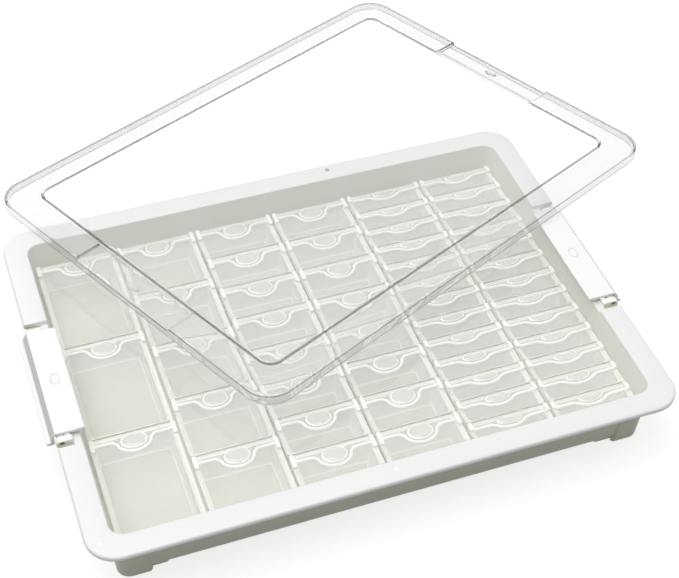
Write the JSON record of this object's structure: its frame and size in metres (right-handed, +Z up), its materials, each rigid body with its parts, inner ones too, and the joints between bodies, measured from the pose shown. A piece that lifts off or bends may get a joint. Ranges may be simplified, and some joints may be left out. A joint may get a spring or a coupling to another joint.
{
  "type": "bead storage box",
  "caption": "Shallow white plastic tray with a rim and snap latches, rows of small clear flip-lid containers in graded sizes, and a clear cover lying loose across it",
  "frame": {"origin": "centre of the tray in plan, under the middle of its flat underside, at the level of the undersides of its four feet, which stand 2.5 mm lower than that face", "axes": "+X along the tray's long side to the right of the picture, +Y from the front long side to the back one, +Z up"},
  "size_m": [0.4146, 0.4238, 0.0576],
  "materials": {
    "tray_plastic": "opaque white, smooth and slightly glossy",
    "cover_plastic": "clear and glossy",
    "latch_plastic": "opaque white, satin",
    "flip_lid_plastic": "clear and glossy",
    "container_plastic": "clear and glossy"
  },
  "bodies": {
    "tray": {"tray": "tray_plastic", "seated_containers": "container_plastic"},
    "large_container_c1_r01": {"large_container_c1_r01": "container_plastic"},
    "large_lid_c1_r01": {"large_lid_c1_r01": "flip_lid_plastic"},
    "large_lid_c1_r02": {"large_lid_c1_r02": "flip_lid_plastic"},
    "large_lid_c1_r03": {"large_lid_c1_r03": "flip_lid_plastic"},
    "medium_container_c2_r01": {"medium_container_c2_r01": "container_plastic"},
    "medium_lid_c2_r01": {"medium_lid_c2_r01": "flip_lid_plastic"},
    "medium_lid_c2_r02": {"medium_lid_c2_r02": "flip_lid_plastic"},
    "medium_lid_c2_r03": {"medium_lid_c2_r03": "flip_lid_plastic"},
    "medium_lid_c2_r04": {"medium_lid_c2_r04": "flip_lid_plastic"},
    "medium_lid_c2_r05": {"medium_lid_c2_r05": "flip_lid_plastic"},
    "small_container_c3_r01": {"small_container_c3_r01": "container_plastic"},
    "small_lid_c3_r01": {"small_lid_c3_r01": "flip_lid_plastic"},
    "small_lid_c3_r02": {"small_lid_c3_r02": "flip_lid_plastic"},
    "small_lid_c3_r03": {"small_lid_c3_r03": "flip_lid_plastic"},
    "small_lid_c3_r04": {"small_lid_c3_r04": "flip_lid_plastic"},
    "small_lid_c3_r05": {"small_lid_c3_r05": "flip_lid_plastic"},
    "small_lid_c3_r06": {"small_lid_c3_r06": "flip_lid_plastic"},
    "small_lid_c3_r07": {"small_lid_c3_r07": "flip_lid_plastic"},
    "small_lid_c3_r08": {"small_lid_c3_r08": "flip_lid_plastic"},
    "small_lid_c4_r01": {"small_lid_c4_r01": "flip_lid_plastic"},
    "small_lid_c4_r02": {"small_lid_c4_r02": "flip_lid_plastic"},
    "small_lid_c4_r03": {"small_lid_c4_r03": "flip_lid_plastic"},
    "small_lid_c4_r04": {"small_lid_c4_r04": "flip_lid_plastic"},
    "small_lid_c4_r05": {"small_lid_c4_r05": "flip_lid_plastic"},
    "small_lid_c4_r06": {"small_lid_c4_r06": "flip_lid_plastic"},
    "small_lid_c4_r07": {"small_lid_c4_r07": "flip_lid_plastic"},
    "small_lid_c4_r08": {"small_lid_c4_r08": "flip_lid_plastic"},
    "tiny_container_c5_r01": {"tiny_container_c5_r01": "container_plastic"},
    "tiny_lid_c5_r01": {"tiny_lid_c5_r01": "flip_lid_plastic"},
    "tiny_lid_c5_r02": {"tiny_lid_c5_r02": "flip_lid_plastic"},
    "tiny_lid_c5_r03": {"tiny_lid_c5_r03": "flip_lid_plastic"},
    "tiny_lid_c5_r04": {"tiny_lid_c5_r04": "flip_lid_plastic"},
    "tiny_lid_c5_r05": {"tiny_lid_c5_r05": "flip_lid_plastic"},
    "tiny_lid_c5_r06": {"tiny_lid_c5_r06": "flip_lid_plastic"},
    "tiny_lid_c5_r07": {"tiny_lid_c5_r07": "flip_lid_plastic"},
    "tiny_lid_c5_r08": {"tiny_lid_c5_r08": "flip_lid_plastic"},
    "tiny_lid_c5_r09": {"tiny_lid_c5_r09": "flip_lid_plastic"},
    "tiny_lid_c5_r10": {"tiny_lid_c5_r10": "flip_lid_plastic"},
    "tiny_lid_c5_r11": {"tiny_lid_c5_r11": "flip_lid_plastic"},
    "tiny_lid_c5_r12": {"tiny_lid_c5_r12": "flip_lid_plastic"},
    "tiny_lid_c5_r13": {"tiny_lid_c5_r13": "flip_lid_plastic"},
    "tiny_container_c6_r01": {"tiny_container_c6_r01": "container_plastic"},
    "tiny_lid_c6_r01": {"tiny_lid_c6_r01": "flip_lid_plastic"},
    "tiny_lid_c6_r02": {"tiny_lid_c6_r02": "flip_lid_plastic"},
    "tiny_lid_c6_r03": {"tiny_lid_c6_r03": "flip_lid_plastic"},
    "tiny_lid_c6_r04": {"tiny_lid_c6_r04": "flip_lid_plastic"},
    "tiny_lid_c6_r05": {"tiny_lid_c6_r05": "flip_lid_plastic"},
    "tiny_lid_c6_r06": {"tiny_lid_c6_r06": "flip_lid_plastic"},
    "tiny_lid_c6_r07": {"tiny_lid_c6_r07": "flip_lid_plastic"},
    "tiny_lid_c6_r08": {"tiny_lid_c6_r08": "flip_lid_plastic"},
    "tiny_lid_c6_r09": {"tiny_lid_c6_r09": "flip_lid_plastic"},
    "tiny_lid_c6_r10": {"tiny_lid_c6_r10": "flip_lid_plastic"},
    "tiny_lid_c6_r11": {"tiny_lid_c6_r11": "flip_lid_plastic"},
    "tiny_lid_c6_r12": {"tiny_lid_c6_r12": "flip_lid_plastic"},
    "tiny_lid_c6_r13": {"tiny_lid_c6_r13": "flip_lid_plastic"},
    "latch_left": {"latch_left": "latch_plastic"},
    "latch_right": {"latch_right": "latch_plastic"},
    "tray_lid": {"tray_lid": "cover_plastic"}
  },
  "joints": [
    {"name": "large_container_c1_r01_lift", "type": "slide", "parent": "tray", "child": "large_container_c1_r01", "axis": [0, 0, 1], "range_m": [0, 0.06]},
    {"name": "large_lid_c1_r01_hinge", "type": "hinge", "parent": "large_container_c1_r01", "child": "large_lid_c1_r01", "pos_m": [-0.12625, -0.107, 0.0247], "axis": [1, 0, 0], "range_deg": [0, 80]},
    {"name": "large_lid_c1_r02_hinge", "type": "hinge", "parent": "tray", "child": "large_lid_c1_r02", "pos_m": [-0.12625, -0.035, 0.0247], "axis": [1, 0, 0], "range_deg": [0, 80]},
    {"name": "large_lid_c1_r03_hinge", "type": "hinge", "parent": "tray", "child": "large_lid_c1_r03", "pos_m": [-0.12625, 0.037, 0.0247], "axis": [1, 0, 0], "range_deg": [0, 80]},
    {"name": "medium_container_c2_r01_lift", "type": "slide", "parent": "tray", "child": "medium_container_c2_r01", "axis": [0, 0, 1], "range_m": [0, 0.06]},
    {"name": "medium_lid_c2_r01_hinge", "type": "hinge", "parent": "medium_container_c2_r01", "child": "medium_lid_c2_r01", "pos_m": [-0.07575, -0.107, 0.0247], "axis": [1, 0, 0], "range_deg": [0, 80]},
    {"name": "medium_lid_c2_r02_hinge", "type": "hinge", "parent": "tray", "child": "medium_lid_c2_r02", "pos_m": [-0.07575, -0.0638, 0.0247], "axis": [1, 0, 0], "range_deg": [0, 80]},
    {"name": "medium_lid_c2_r03_hinge", "type": "hinge", "parent": "tray", "child": "medium_lid_c2_r03", "pos_m": [-0.07575, -0.0206, 0.0247], "axis": [1, 0, 0], "range_deg": [0, 80]},
    {"name": "medium_lid_c2_r04_hinge", "type": "hinge", "parent": "tray", "child": "medium_lid_c2_r04", "pos_m": [-0.07575, 0.0226, 0.0247], "axis": [1, 0, 0], "range_deg": [0, 80]},
    {"name": "medium_lid_c2_r05_hinge", "type": "hinge", "parent": "tray", "child": "medium_lid_c2_r05", "pos_m": [-0.07575, 0.0658, 0.0247], "axis": [1, 0, 0], "range_deg": [0, 80]},
    {"name": "small_container_c3_r01_lift", "type": "slide", "parent": "tray", "child": "small_container_c3_r01", "axis": [0, 0, 1], "range_m": [0, 0.06]},
    {"name": "small_lid_c3_r01_hinge", "type": "hinge", "parent": "small_container_c3_r01", "child": "small_lid_c3_r01", "pos_m": [-0.02525, -0.107, 0.0247], "axis": [1, 0, 0], "range_deg": [0, 80]},
    {"name": "small_lid_c3_r02_hinge", "type": "hinge", "parent": "tray", "child": "small_lid_c3_r02", "pos_m": [-0.02525, -0.08, 0.0247], "axis": [1, 0, 0], "range_deg": [0, 80]},
    {"name": "small_lid_c3_r03_hinge", "type": "hinge", "parent": "tray", "child": "small_lid_c3_r03", "pos_m": [-0.02525, -0.053, 0.0247], "axis": [1, 0, 0], "range_deg": [0, 80]},
    {"name": "small_lid_c3_r04_hinge", "type": "hinge", "parent": "tray", "child": "small_lid_c3_r04", "pos_m": [-0.02525, -0.026, 0.0247], "axis": [1, 0, 0], "range_deg": [0, 80]},
    {"name": "small_lid_c3_r05_hinge", "type": "hinge", "parent": "tray", "child": "small_lid_c3_r05", "pos_m": [-0.02525, 0.001, 0.0247], "axis": [1, 0, 0], "range_deg": [0, 80]},
    {"name": "small_lid_c3_r06_hinge", "type": "hinge", "parent": "tray", "child": "small_lid_c3_r06", "pos_m": [-0.02525, 0.028, 0.0247], "axis": [1, 0, 0], "range_deg": [0, 80]},
    {"name": "small_lid_c3_r07_hinge", "type": "hinge", "parent": "tray", "child": "small_lid_c3_r07", "pos_m": [-0.02525, 0.055, 0.0247], "axis": [1, 0, 0], "range_deg": [0, 80]},
    {"name": "small_lid_c3_r08_hinge", "type": "hinge", "parent": "tray", "child": "small_lid_c3_r08", "pos_m": [-0.02525, 0.082, 0.0247], "axis": [1, 0, 0], "range_deg": [0, 80]},
    {"name": "small_lid_c4_r01_hinge", "type": "hinge", "parent": "tray", "child": "small_lid_c4_r01", "pos_m": [0.02525, -0.107, 0.0247], "axis": [1, 0, 0], "range_deg": [0, 80]},
    {"name": "small_lid_c4_r02_hinge", "type": "hinge", "parent": "tray", "child": "small_lid_c4_r02", "pos_m": [0.02525, -0.08, 0.0247], "axis": [1, 0, 0], "range_deg": [0, 80]},
    {"name": "small_lid_c4_r03_hinge", "type": "hinge", "parent": "tray", "child": "small_lid_c4_r03", "pos_m": [0.02525, -0.053, 0.0247], "axis": [1, 0, 0], "range_deg": [0, 80]},
    {"name": "small_lid_c4_r04_hinge", "type": "hinge", "parent": "tray", "child": "small_lid_c4_r04", "pos_m": [0.02525, -0.026, 0.0247], "axis": [1, 0, 0], "range_deg": [0, 80]},
    {"name": "small_lid_c4_r05_hinge", "type": "hinge", "parent": "tray", "child": "small_lid_c4_r05", "pos_m": [0.02525, 0.001, 0.0247], "axis": [1, 0, 0], "range_deg": [0, 80]},
    {"name": "small_lid_c4_r06_hinge", "type": "hinge", "parent": "tray", "child": "small_lid_c4_r06", "pos_m": [0.02525, 0.028, 0.0247], "axis": [1, 0, 0], "range_deg": [0, 80]},
    {"name": "small_lid_c4_r07_hinge", "type": "hinge", "parent": "tray", "child": "small_lid_c4_r07", "pos_m": [0.02525, 0.055, 0.0247], "axis": [1, 0, 0], "range_deg": [0, 80]},
    {"name": "small_lid_c4_r08_hinge", "type": "hinge", "parent": "tray", "child": "small_lid_c4_r08", "pos_m": [0.02525, 0.082, 0.0247], "axis": [1, 0, 0], "range_deg": [0, 80]},
    {"name": "tiny_container_c5_r01_lift", "type": "slide", "parent": "tray", "child": "tiny_container_c5_r01", "axis": [0, 0, 1], "range_m": [0, 0.06]},
    {"name": "tiny_lid_c5_r01_hinge", "type": "hinge", "parent": "tiny_container_c5_r01", "child": "tiny_lid_c5_r01", "pos_m": [0.07575, -0.107, 0.0247], "axis": [1, 0, 0], "range_deg": [0, 80]},
    {"name": "tiny_lid_c5_r02_hinge", "type": "hinge", "parent": "tray", "child": "tiny_lid_c5_r02", "pos_m": [0.07575, -0.09038, 0.0247], "axis": [1, 0, 0], "range_deg": [0, 80]},
    {"name": "tiny_lid_c5_r03_hinge", "type": "hinge", "parent": "tray", "child": "tiny_lid_c5_r03", "pos_m": [0.07575, -0.07377, 0.0247], "axis": [1, 0, 0], "range_deg": [0, 80]},
    {"name": "tiny_lid_c5_r04_hinge", "type": "hinge", "parent": "tray", "child": "tiny_lid_c5_r04", "pos_m": [0.07575, -0.05715, 0.0247], "axis": [1, 0, 0], "range_deg": [0, 80]},
    {"name": "tiny_lid_c5_r05_hinge", "type": "hinge", "parent": "tray", "child": "tiny_lid_c5_r05", "pos_m": [0.07575, -0.04054, 0.0247], "axis": [1, 0, 0], "range_deg": [0, 80]},
    {"name": "tiny_lid_c5_r06_hinge", "type": "hinge", "parent": "tray", "child": "tiny_lid_c5_r06", "pos_m": [0.07575, -0.02392, 0.0247], "axis": [1, 0, 0], "range_deg": [0, 80]},
    {"name": "tiny_lid_c5_r07_hinge", "type": "hinge", "parent": "tray", "child": "tiny_lid_c5_r07", "pos_m": [0.07575, -0.00731, 0.0247], "axis": [1, 0, 0], "range_deg": [0, 80]},
    {"name": "tiny_lid_c5_r08_hinge", "type": "hinge", "parent": "tray", "child": "tiny_lid_c5_r08", "pos_m": [0.07575, 0.00931, 0.0247], "axis": [1, 0, 0], "range_deg": [0, 80]},
    {"name": "tiny_lid_c5_r09_hinge", "type": "hinge", "parent": "tray", "child": "tiny_lid_c5_r09", "pos_m": [0.07575, 0.02592, 0.0247], "axis": [1, 0, 0], "range_deg": [0, 80]},
    {"name": "tiny_lid_c5_r10_hinge", "type": "hinge", "parent": "tray", "child": "tiny_lid_c5_r10", "pos_m": [0.07575, 0.04254, 0.0247], "axis": [1, 0, 0], "range_deg": [0, 80]},
    {"name": "tiny_lid_c5_r11_hinge", "type": "hinge", "parent": "tray", "child": "tiny_lid_c5_r11", "pos_m": [0.07575, 0.05915, 0.0247], "axis": [1, 0, 0], "range_deg": [0, 80]},
    {"name": "tiny_lid_c5_r12_hinge", "type": "hinge", "parent": "tray", "child": "tiny_lid_c5_r12", "pos_m": [0.07575, 0.07577, 0.0247], "axis": [1, 0, 0], "range_deg": [0, 80]},
    {"name": "tiny_lid_c5_r13_hinge", "type": "hinge", "parent": "tray", "child": "tiny_lid_c5_r13", "pos_m": [0.07575, 0.09238, 0.0247], "axis": [1, 0, 0], "range_deg": [0, 80]},
    {"name": "tiny_container_c6_r01_lift", "type": "slide", "parent": "tray", "child": "tiny_container_c6_r01", "axis": [0, 0, 1], "range_m": [0, 0.06]},
    {"name": "tiny_lid_c6_r01_hinge", "type": "hinge", "parent": "tiny_container_c6_r01", "child": "tiny_lid_c6_r01", "pos_m": [0.12625, -0.107, 0.0247], "axis": [1, 0, 0], "range_deg": [0, 80]},
    {"name": "tiny_lid_c6_r02_hinge", "type": "hinge", "parent": "tray", "child": "tiny_lid_c6_r02", "pos_m": [0.12625, -0.09038, 0.0247], "axis": [1, 0, 0], "range_deg": [0, 80]},
    {"name": "tiny_lid_c6_r03_hinge", "type": "hinge", "parent": "tray", "child": "tiny_lid_c6_r03", "pos_m": [0.12625, -0.07377, 0.0247], "axis": [1, 0, 0], "range_deg": [0, 80]},
    {"name": "tiny_lid_c6_r04_hinge", "type": "hinge", "parent": "tray", "child": "tiny_lid_c6_r04", "pos_m": [0.12625, -0.05715, 0.0247], "axis": [1, 0, 0], "range_deg": [0, 80]},
    {"name": "tiny_lid_c6_r05_hinge", "type": "hinge", "parent": "tray", "child": "tiny_lid_c6_r05", "pos_m": [0.12625, -0.04054, 0.0247], "axis": [1, 0, 0], "range_deg": [0, 80]},
    {"name": "tiny_lid_c6_r06_hinge", "type": "hinge", "parent": "tray", "child": "tiny_lid_c6_r06", "pos_m": [0.12625, -0.02392, 0.0247], "axis": [1, 0, 0], "range_deg": [0, 80]},
    {"name": "tiny_lid_c6_r07_hinge", "type": "hinge", "parent": "tray", "child": "tiny_lid_c6_r07", "pos_m": [0.12625, -0.00731, 0.0247], "axis": [1, 0, 0], "range_deg": [0, 80]},
    {"name": "tiny_lid_c6_r08_hinge", "type": "hinge", "parent": "tray", "child": "tiny_lid_c6_r08", "pos_m": [0.12625, 0.00931, 0.0247], "axis": [1, 0, 0], "range_deg": [0, 80]},
    {"name": "tiny_lid_c6_r09_hinge", "type": "hinge", "parent": "tray", "child": "tiny_lid_c6_r09", "pos_m": [0.12625, 0.02592, 0.0247], "axis": [1, 0, 0], "range_deg": [0, 80]},
    {"name": "tiny_lid_c6_r10_hinge", "type": "hinge", "parent": "tray", "child": "tiny_lid_c6_r10", "pos_m": [0.12625, 0.04254, 0.0247], "axis": [1, 0, 0], "range_deg": [0, 80]},
    {"name": "tiny_lid_c6_r11_hinge", "type": "hinge", "parent": "tray", "child": "tiny_lid_c6_r11", "pos_m": [0.12625, 0.05915, 0.0247], "axis": [1, 0, 0], "range_deg": [0, 80]},
    {"name": "tiny_lid_c6_r12_hinge", "type": "hinge", "parent": "tray", "child": "tiny_lid_c6_r12", "pos_m": [0.12625, 0.07577, 0.0247], "axis": [1, 0, 0], "range_deg": [0, 80]},
    {"name": "tiny_lid_c6_r13_hinge", "type": "hinge", "parent": "tray", "child": "tiny_lid_c6_r13", "pos_m": [0.12625, 0.09238, 0.0247], "axis": [1, 0, 0], "range_deg": [0, 80]},
    {"name": "latch_left_hinge", "type": "hinge", "parent": "tray", "child": "latch_left", "pos_m": [-0.1648, 0, 0.0383], "axis": [0, -1, 0], "range_deg": [0, 95]},
    {"name": "latch_right_hinge", "type": "hinge", "parent": "tray", "child": "latch_right", "pos_m": [0.1648, 0, 0.0383], "axis": [0, 1, 0], "range_deg": [0, 95]},
    {"name": "tray_lid_lift", "type": "slide", "parent": "tray", "child": "tray_lid", "axis": [0, 0, 1], "range_m": [0, 0.15]}
  ],
  "couplings": [
    {"joint": "large_lid_c1_r03_hinge", "follows": "tray_lid_lift", "rad_per_m": 9.3},
    {"joint": "medium_lid_c2_r02_hinge", "follows": "tray_lid_lift", "rad_per_m": 9.3},
    {"joint": "medium_lid_c2_r03_hinge", "follows": "tray_lid_lift", "rad_per_m": 9.3},
    {"joint": "medium_lid_c2_r04_hinge", "follows": "tray_lid_lift", "rad_per_m": 9.3},
    {"joint": "medium_lid_c2_r05_hinge", "follows": "tray_lid_lift", "rad_per_m": 9.3},
    {"joint": "small_lid_c3_r03_hinge", "follows": "tray_lid_lift", "rad_per_m": 9.3},
    {"joint": "small_lid_c3_r08_hinge", "follows": "tray_lid_lift", "rad_per_m": 9.3},
    {"joint": "small_lid_c4_r03_hinge", "follows": "tray_lid_lift", "rad_per_m": 9.3},
    {"joint": "small_lid_c4_r04_hinge", "follows": "tray_lid_lift", "rad_per_m": 9.3},
    {"joint": "small_lid_c4_r08_hinge", "follows": "tray_lid_lift", "rad_per_m": 9.3},
    {"joint": "latch_right_hinge", "follows": "tray_lid_lift", "rad_per_m": 11.05}
  ]
}
